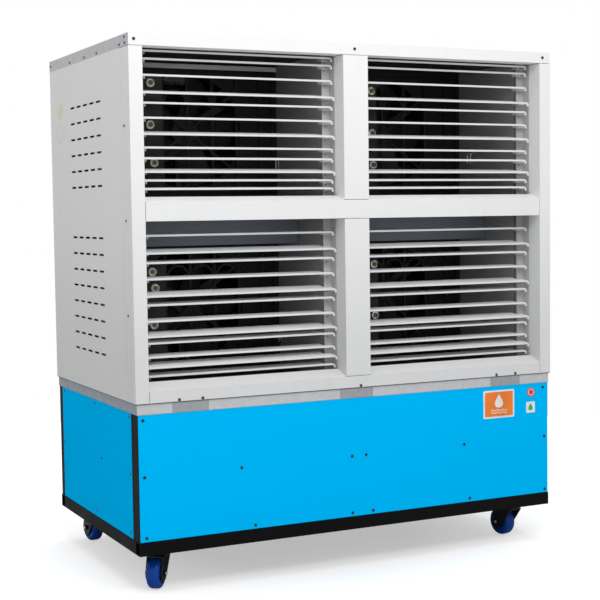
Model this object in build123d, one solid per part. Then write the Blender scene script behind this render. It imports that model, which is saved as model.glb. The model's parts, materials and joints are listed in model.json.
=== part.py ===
from build123d import *
import os

# Mobile evaporative cooler: four louvred outlets over a water-tank base on casters.
# Millimetres. Origin on the floor under the middle of the cabinet, +Z up, outlets face -Y.

# Driving dimensions -------------------------------------------------------------------------
WIDTH = 1580.0  # base cabinet, left to right
DEPTH = 870.0  # base cabinet, front to back
OVERHANG = 5.0  # the upper cabinet stands this far past the base all round
CASTER_HEIGHT = 128.0
FRAME_HEIGHT = 43.0  # black base rail
BASE_HEIGHT = 450.0  # underside of the base rail to the top of the blue panels
BAND_HEIGHT = 36.0  # bare metal band between the two cabinets
BODY_HEIGHT = 1640.0  # underside of the base rail to the roof
SHEET = 2.0  # cabinet sheet with its paint and hem
LINER = 1.5  # inner sheet

# Levels and planes
BASE_Z = CASTER_HEIGHT
PANEL_Z = BASE_Z + FRAME_HEIGHT
BAND_Z = BASE_Z + BASE_HEIGHT
UPPER_Z = BAND_Z + BAND_HEIGHT
TOP_Z = BASE_Z + BODY_HEIGHT
HALF_W = WIDTH / 2 + OVERHANG
HALF_D = DEPTH / 2 + OVERHANG
BASE_X = WIDTH / 2
BASE_Y = DEPTH / 2
FRONT = -HALF_D

# Front frame
STILE = 45.0
CENTRE_STILE = 93.0
SEAM = 1.5  # gap where two frame members butt
TOP_RAIL = 38.0
MID_RAIL = 62.0
BOTTOM_RAIL = 39.0
JAMB = 63.0  # depth of the returns round each window
STILE_FLANK = 95.0  # how far the corner post wraps round the side
ROOF_RAIL_Z = TOP_Z - TOP_RAIL
MID_RAIL_Z = BASE_Z + 1058.0
WINDOW_OUT = HALF_W - STILE
WINDOW_IN = CENTRE_STILE / 2
WINDOWS_Z = {
    "upper": (MID_RAIL_Z + MID_RAIL, ROOF_RAIL_Z),
    "lower": (UPPER_Z + BOTTOM_RAIL, MID_RAIL_Z),
}
SILL_BACK = FRONT + 58.0
SILL_RISE = {"upper": 15.0, "lower": 22.0}

# Louvres: the punched pivot heights are uneven, and every third blade is a deep one
PIVOT_Y = FRONT + 97.0
BLADE_REAR = 24.0
BLADE_FRONT = 28.0
DEEP_FRONT = 43.0
BLADE_TOP = 11.0  # blade face above its pivot
TAB_BOTTOM = -4.0
BLADE_SHEET = 2.0
NOSE_THICK = 6.5
NOSE_DEPTH = 5.0
TAB_RADIUS = 12.0
BLADE_TILT = 4.0  # degrees, front edge down
DEEP_TILT = 8.0
PIN_R = 3.0
PIN_CLEAR = 0.15
CRANK = 20.0
LINK_R = 2.5
OUTER_GAP = 8.0  # blade nose to the jamb, at the post and at the centre stile
INNER_GAP = 5.0
PLATE_GAP = 33.0  # the plate behind the nose is shorter, to pass beside the channel flange
NOSE_PART = 12.0  # how far in front of the pivot the full-length part of a blade stops
CHANNEL_FLANGE = 30.0
CHANNEL_DEPTH = 55.0
UPPER_PIVOTS = (1589, 1564, 1513, 1461, 1426, 1379, 1331, 1285, 1251, 1212, 1181, 1154)
LOWER_PIVOTS = (1006, 954, 919, 867, 817, 784, 732, 688, 662, 617, 589, 556)
UPPER_DEEP = (4, 7, 10)
LOWER_DEEP = (2, 5, 8, 11)

# Air path behind the louvres
BAY_FRONT = FRONT + 123.0
DECK_Y = 90.0
UPRIGHT = 118.0  # strip down the left side of each bay that carries its flange bolts
UPRIGHT_Y = FRONT + 153.0
UPRIGHT_TOP = {"upper": BASE_Z + 1530.0, "lower": BASE_Z + 922.0}
RING_R = 205.0
RING_DEPTH = 80.0
FAN_X = 398.0
FAN_Z = {"upper": BASE_Z + 1372.0, "lower": BASE_Z + 756.0}
GUARD_HEIGHT = 430.0
GUARD_TOP = {"upper": BASE_Z + 1587.0, "lower": BASE_Z + 965.0}
BAR_PITCH = 95.0
MOTOR_R = 55.0
SHAFT_R = 7.0

# Pads and water
PAD_FRONT = 290.0
PAD_BACK = 390.0
PAD_FOOT = UPPER_Z + 42.0
RISER_Y = 340.0
TANK = (-700.0, 700.0, 100.0, 405.0, PANEL_Z, 520.0)
TANK_WALL = 3.0
INLET_X = 560.0
DRAIN_X = -560.0
GLAND_X = 570.0
GLAND_Y = -360.0
SPIGOT_Z = 96.0
SPIGOT_LENGTH = 24.0

# Casters
WHEEL_R = 50.0
WHEEL_WIDTH = 42.0
TRAIL = 36.0
FORK_INSIDE = 23.5
FORK_SHEET = 4.5
CASTER_X = BASE_X - 102.0
CASTER_Y = BASE_Y - 104.0
CASTER_YAW = {"front_left": 38.0, "front_right": 172.0, "rear_left": 172.0, "rear_right": 150.0}
CASTER_SIDE = {"front_left": (-1, -1), "front_right": (1, -1), "rear_left": (-1, 1), "rear_right": (1, 1)}


# Shared shapes ------------------------------------------------------------------------------
def box(x0, x1, y0, y1, z0, z1):
    """Block between two corners."""
    return Pos((x0 + x1) / 2, (y0 + y1) / 2, (z0 + z1) / 2) * Box(x1 - x0, y1 - y0, z1 - z0)


def rod_x(x0, x1, y, z, radius):
    return Pos((x0 + x1) / 2, y, z) * Rot(0, 90, 0) * Cylinder(radius, x1 - x0)


def rod_y(x, y0, y1, z, radius):
    return Pos(x, (y0 + y1) / 2, z) * Rot(90, 0, 0) * Cylinder(radius, y1 - y0)


def rod_z(x, y, z0, z1, radius):
    return Pos(x, y, (z0 + z1) / 2) * Cylinder(radius, z1 - z0)


def prism_x(outline, x0, x1):
    """Solid with this (y, z) outline, from x0 to x1."""
    face = Plane.YZ * Polygon(*outline, align=None)
    return Pos(x0, 0, 0) * extrude(face, amount=x1 - x0, dir=(1, 0, 0))


def prism_y(section, y0, y1):
    """Solid with this section, drawn in x and z, from y0 to y1."""
    plane = Plane(origin=(0, y1, 0), x_dir=(1, 0, 0), z_dir=(0, -1, 0))
    return extrude(plane * section, amount=y1 - y0, dir=(0, -1, 0))


def both_sides(shape):
    """The shape and its mirror image across the middle of the cabinet."""
    return [shape, mirror(shape, about=Plane.YZ)]


def fuse(shapes):
    whole = shapes[0]
    for shape in shapes[1:]:
        whole = whole + shape
    return whole


# Front frame --------------------------------------------------------------------------------
def corner_post():
    """Left folded post: front face, jamb beside the window, grooved side face with a hem."""
    low, high = UPPER_Z, ROOF_RAIL_Z - SEAM
    face = box(-HALF_W, -WINDOW_OUT, FRONT, FRONT + SHEET, low, high)
    jamb = box(-WINDOW_OUT - SHEET, -WINDOW_OUT, FRONT, FRONT + JAMB, low, high)
    flank = box(-HALF_W, -HALF_W + SHEET, FRONT, FRONT + STILE_FLANK, low, high)
    hem_y = FRONT + STILE_FLANK
    hem = box(-HALF_W, -HALF_W + 14, hem_y - SHEET, hem_y, low, high)
    post = face + jamb + flank + hem
    for groove_y in (FRONT + 36, FRONT + 66):
        post -= box(-HALF_W - 1, -HALF_W + 0.8, groove_y, groove_y + 4, low - 1, high + 1)
    return post


def centre_stile(low, high):
    low, high = low + SEAM, high - SEAM
    face = box(-WINDOW_IN, WINDOW_IN, FRONT, FRONT + SHEET, low, high)
    returns = both_sides(box(-WINDOW_IN, -WINDOW_IN + SHEET, FRONT, FRONT + JAMB, low, high))
    return fuse([face] + returns)


def sloped_sill(z, rise):
    """Sill of one window, falling towards the front so that drips run off."""
    back_z = z + rise
    outline = [(FRONT, z - SHEET), (FRONT, z), (SILL_BACK, back_z), (SILL_BACK, back_z - SHEET)]
    return both_sides(prism_x(outline, -WINDOW_OUT, -WINDOW_IN))


def front_frame():
    skirt = HALF_W - SHEET
    rail_end = WINDOW_OUT - SEAM
    top_rail = fuse([
        box(-HALF_W, HALF_W, FRONT, FRONT + SHEET, ROOF_RAIL_Z, TOP_Z),
        box(-skirt, skirt, FRONT, FRONT + 60, ROOF_RAIL_Z, ROOF_RAIL_Z + SHEET),
    ])
    mid_top = MID_RAIL_Z + MID_RAIL
    mid_rail = fuse([
        box(-rail_end, rail_end, FRONT, FRONT + SHEET, MID_RAIL_Z, mid_top),
        box(-WINDOW_OUT, WINDOW_OUT, FRONT, SILL_BACK, MID_RAIL_Z, MID_RAIL_Z + SHEET),
    ] + sloped_sill(mid_top, SILL_RISE["upper"]))
    bottom_top = UPPER_Z + BOTTOM_RAIL
    bottom_rail = fuse([
        box(-rail_end, rail_end, FRONT, FRONT + SHEET, UPPER_Z, bottom_top),
        box(-WINDOW_OUT, WINDOW_OUT, FRONT, FRONT + 40, UPPER_Z, UPPER_Z + SHEET),
    ] + sloped_sill(bottom_top, SILL_RISE["lower"]))
    stiles = [centre_stile(*WINDOWS_Z[level]) for level in ("upper", "lower")]
    return both_sides(corner_post()) + stiles + [top_rail, mid_rail, bottom_rail]


# Louvres ------------------------------------------------------------------------------------
def rows(level):
    """Each louvre row as (number, pivot height, whether its blades are deep)."""
    pivots = UPPER_PIVOTS if level == "upper" else LOWER_PIVOTS
    deep = UPPER_DEEP if level == "upper" else LOWER_DEEP
    return [(n, BASE_Z + z, n in deep) for n, z in enumerate(pivots, start=1)]


def rolled_section(x0, x1, thickness):
    """Inverted U in x and z: a flat top whose two ends are rolled down into tabs."""
    middle = (x0 + x1) / 2
    outer = Pos(middle, (BLADE_TOP + TAB_BOTTOM) / 2) * Rectangle(x1 - x0, BLADE_TOP - TAB_BOTTOM)
    outer = fillet(outer.vertices().sort_by(Axis.Y)[-2:], TAB_RADIUS)
    top = BLADE_TOP - thickness
    inner = Pos(middle, (top + TAB_BOTTOM) / 2) * Rectangle(x1 - x0 - 2 * thickness, top - TAB_BOTTOM)
    inner = fillet(inner.vertices().sort_by(Axis.Y)[-2:], TAB_RADIUS - thickness)
    return outer - inner


def blade(nose_x, plate_x, front, tilt):
    """One outlet blade about a pivot at the origin: rolled nose, wide front part, shorter plate."""
    nose = prism_y(rolled_section(*nose_x, NOSE_THICK), -front, -front + NOSE_DEPTH)
    wide = prism_y(rolled_section(*nose_x, BLADE_SHEET), -front + NOSE_DEPTH / 2, -NOSE_PART)
    plate = prism_y(rolled_section(*plate_x, BLADE_SHEET), -NOSE_PART - 6, BLADE_REAR)
    return Rot(tilt, 0, 0) * (plate + wide + nose)


def louvre_row(pivot_z, deep):
    """Left and right blades on one shaft, with the crank that the link bar drives."""
    front = DEEP_FRONT if deep else BLADE_FRONT
    tilt = DEEP_TILT if deep else BLADE_TILT
    nose_x = (WINDOW_IN + INNER_GAP, WINDOW_OUT - OUTER_GAP)
    plate_x = (WINDOW_IN + PLATE_GAP, WINDOW_OUT - PLATE_GAP)
    pieces = both_sides(blade(nose_x, plate_x, front, tilt))
    pieces.append(rod_x(-plate_x[0] - 1, plate_x[0] + 1, 0, 0, PIN_R))
    pieces += both_sides(rod_x(plate_x[1] - 1, WINDOW_OUT + 5, 0, 0, PIN_R))
    arm = box(-2, 2, 0, CRANK, -5, 5) + rod_x(-2, 2, 0, 0, 6) + rod_x(-2, 2, CRANK, 0, 5)
    pieces += [arm, rod_x(1, 9, CRANK, 0, LINK_R)]
    return Pos(0, PIVOT_Y, pivot_z) * fuse(pieces)


def link_bar(level):
    """Upright bar behind the centre stile that makes every row of one level tilt together."""
    heights = [z for _, z, _ in rows(level)]
    y = PIVOT_Y + CRANK
    bar = box(2.5, 6.5, y - 6, y + 6, min(heights) - 10, max(heights) + 10)
    return bar - [rod_x(0, 10, y, z, LINK_R + PIN_CLEAR) for z in heights]


def louvre_channel(level, web_x, inward):
    """Upright T bar beside a window; inward is +1 or -1, towards the blades."""
    low, high = WINDOWS_Z[level]
    low, high = low + 2, high + 12
    y0 = FRONT + JAMB
    y1 = y0 + CHANNEL_DEPTH
    tip = web_x + inward * CHANNEL_FLANGE
    inside = web_x + inward * LINER
    web = box(min(web_x, inside), max(web_x, inside), y0, y1, low, high)
    flange_y = PIVOT_Y + PIN_R + 1
    flange = box(min(web_x, tip), max(web_x, tip), flange_y, flange_y + LINER, low, high)
    channel = web + flange
    for _, z, _ in rows(level):
        channel -= rod_x(web_x - 4, web_x + 4, PIVOT_Y, z, PIN_R + PIN_CLEAR)
        channel -= rod_y(web_x + inward * 20, flange_y - 1, flange_y + LINER + 1, z - 8, 2.5)
    return channel


def louvre_channels():
    channels = []
    for level in ("upper", "lower"):
        for side in (-1, 1):
            channels.append(louvre_channel(level, side * WINDOW_OUT, -side))
            channels.append(louvre_channel(level, side * WINDOW_IN, side))
    return channels


# Cabinet skins ------------------------------------------------------------------------------
def vent_slots(first_z, count):
    """Rows of five punched slots through the left side panel."""
    slots = []
    for row in range(count):
        for column in range(5):
            centre_y = FRONT + 314 + 73 * column
            slot = Plane.YZ * (Pos(centre_y, first_z - 55.3 * row) * SlotOverall(50, 7))
            slots.append(Pos(-HALF_W - 5, 0, 0) * extrude(slot, amount=20))
    return slots


def side_panel_left():
    back = HALF_D - SHEET
    panel = box(-HALF_W, -HALF_W + SHEET, FRONT + STILE_FLANK, back, UPPER_Z, ROOF_RAIL_Z)
    panel += box(-HALF_W, -HALF_W + 20, back - SHEET, back, UPPER_Z, ROOF_RAIL_Z)
    return panel - (vent_slots(BASE_Z + 1452, 6) + vent_slots(BASE_Z + 1003, 8))


def roof_pan():
    """Bare sheet roof with skirts down the two sides and the back."""
    top = box(-HALF_W, HALF_W, FRONT + SHEET, HALF_D, TOP_Z - SHEET, TOP_Z)
    skirts = both_sides(
        box(-HALF_W, -HALF_W + SHEET, FRONT + SHEET, HALF_D, ROOF_RAIL_Z, TOP_Z)
    )
    skirts.append(box(-HALF_W, HALF_W, HALF_D - SHEET, HALF_D, ROOF_RAIL_Z, TOP_Z))
    return fuse([top] + skirts)


def seam_band():
    """Angle bars round the top of the base, and the three plates that tie the cabinets."""
    low, high = BAND_Z, UPPER_Z
    leg = 34.0
    long_bars = []
    for y, inner in ((-BASE_Y, 1), (BASE_Y, -1)):
        face_y = sorted((y, y + inner * SHEET))
        shelf_y = sorted((y, y + inner * leg))
        face = box(-BASE_X, BASE_X, *face_y, low, high)
        long_bars.append(face + box(-BASE_X, BASE_X, *shelf_y, high - SHEET, high))
    face = box(-BASE_X, -BASE_X + SHEET, -BASE_Y + SHEET, BASE_Y - SHEET, low, high)
    shelf = box(-BASE_X, -BASE_X + leg, -BASE_Y + leg, BASE_Y - leg, high - SHEET, high)
    tie_plates = [
        box(x - 62, x + 62, -BASE_Y - 1.5, -BASE_Y, low + 2, high - 1) for x in (-609, -6, 600)
    ]
    return long_bars + both_sides(face + shelf) + tie_plates


# Air path -----------------------------------------------------------------------------------
def bay_liner():
    """Inner walls and decks that keep the four air paths apart."""
    low, high = UPPER_Z + 26, ROOF_RAIL_Z + 15
    walls = both_sides(box(-WINDOW_OUT, -WINDOW_OUT + LINER, BAY_FRONT, DECK_Y, low, high))
    walls += both_sides(box(-WINDOW_IN, -WINDOW_IN + LINER, BAY_FRONT, DECK_Y, low, high))
    decks = []
    for z in (low, MID_RAIL_Z + MID_RAIL - 10):
        deck = box(-WINDOW_OUT + LINER, -WINDOW_IN, FRONT + 60, DECK_Y, z, z + LINER)
        decks += both_sides(deck)
    for z in (MID_RAIL_Z + 4, high - LINER):
        deck = box(-WINDOW_OUT + LINER, -WINDOW_IN, BAY_FRONT, DECK_Y, z, z + LINER)
        decks += both_sides(deck)
    uprights = []
    for z0, z1 in ((low + LINER, UPRIGHT_TOP["lower"]), (MID_RAIL_Z + MID_RAIL - 10 + LINER, UPRIGHT_TOP["upper"])):
        for x in (-WINDOW_OUT + LINER, WINDOW_IN):
            uprights.append(box(x, x + UPRIGHT, UPRIGHT_Y, UPRIGHT_Y + SHEET, z0, z1))
    return walls + decks + uprights


def fan_places():
    """Name, x and z of each fan."""
    return [
        (f"{level}_{side}", sign * FAN_X, FAN_Z[level])
        for level in ("upper", "lower")
        for side, sign in (("left", -1), ("right", 1))
    ]


def fan_deck():
    """Four upright sheets across the cabinet, each with a hole and a venturi ring for a fan."""
    edge = HALF_W - SHEET
    split_z = MID_RAIL_Z + MID_RAIL / 2
    spans = {"upper": (split_z, TOP_Z - SHEET), "lower": (UPPER_Z, split_z)}
    shapes = []
    for name, x, z in fan_places():
        low, high = spans[name.split("_")[0]]
        x0, x1 = (-edge, 0) if x < 0 else (0, edge)
        hole = rod_y(x, DECK_Y - 5, DECK_Y + RING_DEPTH + 5, z, RING_R)
        shapes.append(box(x0, x1, DECK_Y, DECK_Y + SHEET, low, high) - hole)
        shapes.append(rod_y(x, DECK_Y + SHEET, DECK_Y + RING_DEPTH, z, RING_R + 3) - hole)
    return shapes


def fan_guard(level):
    """Moulded grille on the left deck: frame, upright bars, arched heads and two braces."""
    top = GUARD_TOP[level]
    low = top - GUARD_HEIGHT
    left, right = -WINDOW_OUT + 4, -WINDOW_IN - 4
    front, back = DECK_Y - 8, DECK_Y
    frame = box(left, right, front, back, low, top) - box(
        left + 16, right - 16, front - 1, back + 1, low + 16, top - 16
    )
    pieces = [frame]
    count = int((right - left) // BAR_PITCH)
    first = (left + right) / 2 - BAR_PITCH * (count - 1) / 2
    for n in range(count):
        x = first + BAR_PITCH * n
        pieces.append(box(x - 5, x + 5, front, back - 1, low + 8, top - 8))
    for n in range(count - 1):
        centre = first + BAR_PITCH * (n + 0.5)
        arch_z = top - 110
        arch = rod_y(centre, front, back - 1, arch_z, 44) - rod_y(centre, front - 1, back, arch_z, 36)
        pieces.append(arch - box(centre - 60, centre + 60, front - 1, back, arch_z - 60, arch_z))
    middle = (low + top) / 2
    for slope in (-1, 1):
        brace = Rot(0, slope * 38, 0) * Box(470, 7, 9)
        pieces.append(Pos((left + right) / 2, (front + back - 1) / 2, middle) * brace)
    return fuse(pieces)


def fan_guards():
    guards = []
    for level in ("upper", "lower"):
        guards += both_sides(fan_guard(level))
    return guards


def fan_motor(x, z):
    """Motor with its shaft, carried on three arms from the venturi ring."""
    rear_ring = DECK_Y + RING_DEPTH
    body = rod_y(x, rear_ring + 6, rear_ring + 88, z, MOTOR_R)
    cap = rod_y(x, rear_ring + 88, rear_ring + 98, z, MOTOR_R - 12)
    shaft = rod_y(x, DECK_Y + 22, rear_ring + 8, z, SHAFT_R)
    arms = []
    for turn in (90, 210, 330):
        arm = Pos(130, 0, 0) * Box(168, 5, 26)
        foot = Pos(206, -5, 0) * Box(4, 5.5, 26)
        arms.append(Pos(x, rear_ring + 8.5, z) * Rot(0, turn, 0) * (arm + foot))
    return fuse([body, cap, shaft] + arms)


def impeller(x, z):
    """Five pitched blades on a hub that runs on the motor shaft."""
    middle = DECK_Y + 46
    hub = rod_y(x, middle - 22, middle + 26, z, 48)
    vanes = []
    for n in range(5):
        vane = Pos(118, 0, 0) * Rot(32, 0, 0) * Box(176, 3, 104)
        vanes.append(Pos(x, middle, z) * Rot(0, 72 * n, 0) * vane)
    tip = rod_y(x, middle - 40, middle + 40, z, RING_R - 8)
    wheel = hub + (fuse(vanes) & tip)
    return wheel - rod_y(x, middle - 60, middle + 60, z, SHAFT_R + 0.06)


# Pads and water -----------------------------------------------------------------------------
def cooling_pads():
    return both_sides(box(-WINDOW_OUT, -26, PAD_FRONT, PAD_BACK, PAD_FOOT, ROOF_RAIL_Z - 40))


def pad_tray():
    """Left channel that the pads stand in, with drip holes over the tank."""
    edge = HALF_W - SHEET
    y0, y1 = PAD_FRONT - 4, PAD_BACK + 4
    tray = box(-edge, -20, y0, y1, UPPER_Z, PAD_FOOT + 20)
    tray -= box(-edge - 1, -19, y0 + SHEET, y1 - SHEET, PAD_FOOT, PAD_FOOT + 21)
    tray -= box(-edge - 1, -19, y0 + SHEET, y1 - SHEET, UPPER_Z - 1, PAD_FOOT - SHEET)
    for n in range(6):
        tray -= rod_z(-660 + 100 * n, RISER_Y, PAD_FOOT - 5, PAD_FOOT + 5, 12)
    return tray


def rear_pad_frame():
    """Left lift-off frame over the pads: a border and sloped intake slats."""
    low, high = UPPER_Z + 1, ROOF_RAIL_Z - 1
    left, right = -HALF_W + 21, -2.0
    y0, y1 = HALF_D - 44, HALF_D - SHEET
    border = box(left, right, y0, y1, low, high)
    border -= box(left + 2, right - 2, y0 - 1, y1 - 2, low + 2, high - 2)
    border += box(left + 32, right - 32, y0, y1, low + 32, high - 32)
    border -= box(left + 34, right - 34, y0 - 1, y1 + 1, low + 34, high - 34)
    slats = []
    pitch = 46.0
    count = int((high - low - 90) // pitch)
    first = (low + high) / 2 - pitch * (count - 1) / 2
    for n in range(count):
        slat = Rot(-40, 0, 0) * Box(right - left - 60, 2, 44)
        slats.append(Pos((left + right) / 2, (y0 + y1) / 2, first + pitch * n) * slat)
    return fuse([border] + slats)


def water_header():
    """Riser from the pump and the spray pipe along the top of the pads."""
    pipe_z = ROOF_RAIL_Z - 18
    end = WINDOW_OUT - 20
    spray = rod_x(-end, end, RISER_Y, pipe_z, 16)
    riser = rod_z(0, RISER_Y, 332, pipe_z, 12.5)
    tee = rod_z(0, RISER_Y, pipe_z - 40, pipe_z, 18)
    bores = [rod_x(-end + 4, end - 4, RISER_Y, pipe_z, 13), rod_z(0, RISER_Y, 330, pipe_z, 10)]
    return spray + riser + tee - bores


def water_pump():
    """Submersible pump on the tank floor with its outlet under the riser."""
    floor = TANK[4] + TANK_WALL
    base = box(-62, 62, RISER_Y - 52, RISER_Y + 52, floor, floor + 26)
    motor = rod_z(0, RISER_Y, floor + 26, 304, 44)
    return base + motor + rod_z(0, RISER_Y, 304, 332, 11)


def water_tank():
    x0, x1, y0, y1, z0, z1 = TANK
    wall = TANK_WALL
    tank = box(*TANK) - box(x0 + wall, x1 - wall, y0 + wall, y1 - wall, z0 + wall, z1 + 1)
    rim = box(x0 - 12, x1 + 12, y0 - 12, y1 + 12, z1 - 4, z1) - box(x0, x1, y0, y1, z1 - 5, z1 + 1)
    tank += rim
    tank -= rod_z(INLET_X, RISER_Y, z0 - 1, z0 + 10, 9.2)
    return tank - rod_z(DRAIN_X, RISER_Y, z0 - 1, z0 + 10, 10.2)


def water_fittings():
    """Inlet pipe with its float valve body, and the drain, both entering from below."""
    spigot_top = SPIGOT_Z + SPIGOT_LENGTH
    inlet = fuse([
        rod_z(INLET_X, RISER_Y, SPIGOT_Z, spigot_top, 10.5),
        rod_z(INLET_X, RISER_Y, spigot_top, spigot_top + 10, 15),
        rod_z(INLET_X, RISER_Y, spigot_top, 452, 9),
        box(INLET_X - 16, INLET_X + 16, RISER_Y - 16, RISER_Y + 16, 450, 486),
        box(INLET_X - 36, INLET_X - 14, RISER_Y - 12, RISER_Y - 7, 456, 480),
        box(INLET_X - 36, INLET_X - 14, RISER_Y + 7, RISER_Y + 12, 456, 480),
        rod_y(INLET_X - 28, RISER_Y - 12, RISER_Y + 12, 468, 3),
    ])
    drain = fuse([
        rod_z(DRAIN_X, RISER_Y, SPIGOT_Z, spigot_top, 13.5),
        rod_z(DRAIN_X, RISER_Y, spigot_top, spigot_top + 10, 19),
        rod_z(DRAIN_X, RISER_Y, spigot_top, TANK[4] + 6, 10),
    ])
    return [inlet, drain]


def float_arm():
    """Lever and float of the float valve, hanging at its dry stop."""
    hinge_x = INLET_X - 28
    eye = rod_y(0, -6.5, 6.5, 0, 8) - rod_y(0, -20, 20, 0, 3.08)
    lever = rod_x(-160, -6, 0, 0, 3.5)
    ball = Pos(-190, 0, 0) * (Cylinder(38, 52) + rod_x(30, 46, 0, 0, 7))
    arm = eye + lever + ball
    return Pos(hinge_x, RISER_Y, 468) * Rot(0, -25, 0) * arm


def control_box():
    """Switch box in the base with a cable gland that faces the floor."""
    back = -BASE_Y + SHEET
    case = box(500, 700, back, -300, 196, 430) - box(502, 698, back + 2, -299, 198, 428)
    lid = box(498, 702, -300, -297.5, 194, 432)
    gland = rod_z(GLAND_X, GLAND_Y, 132, 196, 9) + rod_z(GLAND_X, GLAND_Y, 112, 136, 12)
    return case + lid + gland - rod_z(GLAND_X, GLAND_Y, 111, 200, 5)


# Base ---------------------------------------------------------------------------------------
def tube(x0, x1, y0, y1, z0, z1, along):
    """Hollow square section between two corners, open along the named axis."""
    wall = 2.5
    grow = {axis: (-1.0 if axis == along else wall) for axis in "xyz"}
    core = box(
        x0 + grow["x"], x1 - grow["x"], y0 + grow["y"], y1 - grow["y"], z0 + grow["z"], z1 - grow["z"]
    )
    return box(x0, x1, y0, y1, z0, z1) - core


def base_frame():
    """Black welded frame: rails, two cross beams and the corner posts."""
    rail, post, post_depth = 40.0, 30.0, 70.0
    low, high = BASE_Z, PANEL_Z
    inner_x, inner_y = BASE_X - rail, BASE_Y - rail
    front_rail = tube(-BASE_X, BASE_X, -BASE_Y, -inner_y, low, high, "x")
    rear_rail = tube(-BASE_X, BASE_X, inner_y, BASE_Y, low, high, "x")
    frame = [front_rail, rear_rail]
    frame += both_sides(tube(-BASE_X, -inner_x, -inner_y, inner_y, low, high, "y"))
    frame += both_sides(tube(-480, -440, -inner_y, inner_y, low, high, "y"))
    x0, x1 = -BASE_X + SHEET, -BASE_X + SHEET + post
    y0, y1 = -BASE_Y + SHEET, -BASE_Y + SHEET + post_depth
    frame += both_sides(tube(x0, x1, y0, y1, high, BAND_Z, "z"))
    frame += both_sides(tube(x0, x1, -y1, -y0, high, BAND_Z, "z"))
    return frame


def base_panels():
    """Blue panels: front and back over the posts, sides set back so that the posts show."""
    low, high = PANEL_Z + 2, BAND_Z - 1
    ends = BASE_X - 3
    front = box(-ends, ends, -BASE_Y, -BASE_Y + SHEET, low, high)
    back = box(-ends, ends, BASE_Y - SHEET, BASE_Y, low, high)
    side = box(-BASE_X, -BASE_X + SHEET, -BASE_Y + 62, BASE_Y - 45, low, high)
    return [front, back] + both_sides(side)


# Casters ------------------------------------------------------------------------------------
def caster_place(name):
    side_x, side_y = CASTER_SIDE[name]
    return Pos(side_x * CASTER_X, side_y * CASTER_Y, 0)


def caster_plate():
    """Top plate, upper race and the kingpin that the fork swivels on."""
    plate = box(-50, 50, -42, 42, BASE_Z - 4, BASE_Z)
    race = rod_z(0, 0, BASE_Z - 9, BASE_Z - 4, 30)
    kingpin = rod_z(0, 0, BASE_Z - 30, BASE_Z - 4, 6) + rod_z(0, 0, BASE_Z - 31, BASE_Z - 28, 10)
    return plate + race + kingpin


def caster_fork():
    """Swivel yoke with its axle; the wheel trails towards -Y before the caster is turned."""
    bridge_z = BASE_Z - 27.0
    outside = FORK_INSIDE + FORK_SHEET
    crown = rod_z(0, 0, bridge_z, BASE_Z - 10, 33)
    crown += box(-outside, outside, -46, 34, bridge_z, bridge_z + 5)
    outline = make_hull(
        (Pos(-TRAIL, WHEEL_R) * Circle(26)).edges()
        + (Pos(-6, bridge_z + 2.5) * Rectangle(80, 5)).edges()
    )
    leg = Pos(FORK_INSIDE, 0, 0) * extrude(Plane.YZ * outline, amount=FORK_SHEET)
    axle = rod_x(-outside - 5, outside + 5, -TRAIL, WHEEL_R, 5)
    head = Pos(outside, -TRAIL, WHEEL_R) * Rot(0, 90, 0) * extrude(RegularPolygon(9, 6), amount=6)
    yoke = fuse([crown] + both_sides(leg) + [axle] + both_sides(head))
    return yoke - rod_z(0, 0, bridge_z - 1, BASE_Z, 6.08)


def caster_wheel():
    """Blue tyre with a crowned tread and dished sides, bored for the axle."""
    half = WHEEL_WIDTH / 2
    tread = Pos(0, -TRAIL, WHEEL_R) * Rot(0, 90, 0) * Cylinder(WHEEL_R, WHEEL_WIDTH)
    rims = tread.edges().filter_by(GeomType.CIRCLE)
    wheel = fillet(rims, 12)
    for side in (-1, 1):
        ends = sorted((side * (half - 5), side * (half + 1)))
        dish = rod_x(*ends, -TRAIL, WHEEL_R, 33) - rod_x(*ends, -TRAIL, WHEEL_R, 14)
        wheel -= dish
    wheel += rod_x(-half - 2, half + 2, -TRAIL, WHEEL_R, 11)
    return wheel - rod_x(-half - 3, half + 3, -TRAIL, WHEEL_R, 5.08)


# Fasteners ----------------------------------------------------------------------------------
def fasteners():
    """Heads of the screws, rivets and caster bolts, grouped in one node."""
    height = 1.6
    heads = []

    def on_front(x, z, plane_y, radius=5.0):
        heads.append(rod_y(x, plane_y - height, plane_y, z, radius))
        heads.append(rod_y(x, -plane_y, -plane_y + height, z, radius))

    def on_sides(y, z, plane_x, radius=4.0):
        heads.extend(both_sides(rod_x(-plane_x - height, -plane_x, y, z, radius)))

    for x in (-777, -3, 762):
        on_front(x, TOP_Z - 19, FRONT)
    for x in (-769, -435, -26, 28, 425, 771):
        on_front(x, BASE_Z + 252, -BASE_Y)
    for x in (-766, -389, -26, 54, 447, 773):
        on_front(x, BASE_Z + 57, -BASE_Y)
    for x in (-771, 765):
        on_front(x, BASE_Z + 433, -BASE_Y)
    for y, z in ((78, 438), (438, 437), (800, 437), (75, 252), (373, 257), (811, 251), (83, 62), (438, 65)):
        on_sides(y - BASE_Y, BASE_Z + z, BASE_X)
    for y, z in ((862, 1622), (620, 1611), (450, 1611), (314, 1611), (81, 1611), (28, 1611), (31, 1630)):
        on_sides(y - BASE_Y, BASE_Z + z, HALF_W)
    for z in (1357, 1060, 761):
        on_sides(FRONT + 53, BASE_Z + z, HALF_W)
    for name in CASTER_SIDE:
        for x, y in ((-41, -33), (-41, 33), (41, -33), (41, 33)):
            head = extrude(RegularPolygon(7.5, 6), amount=5)
            heads.append(caster_place(name) * Pos(x, y, BASE_Z - 9) * head)
    return heads


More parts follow.
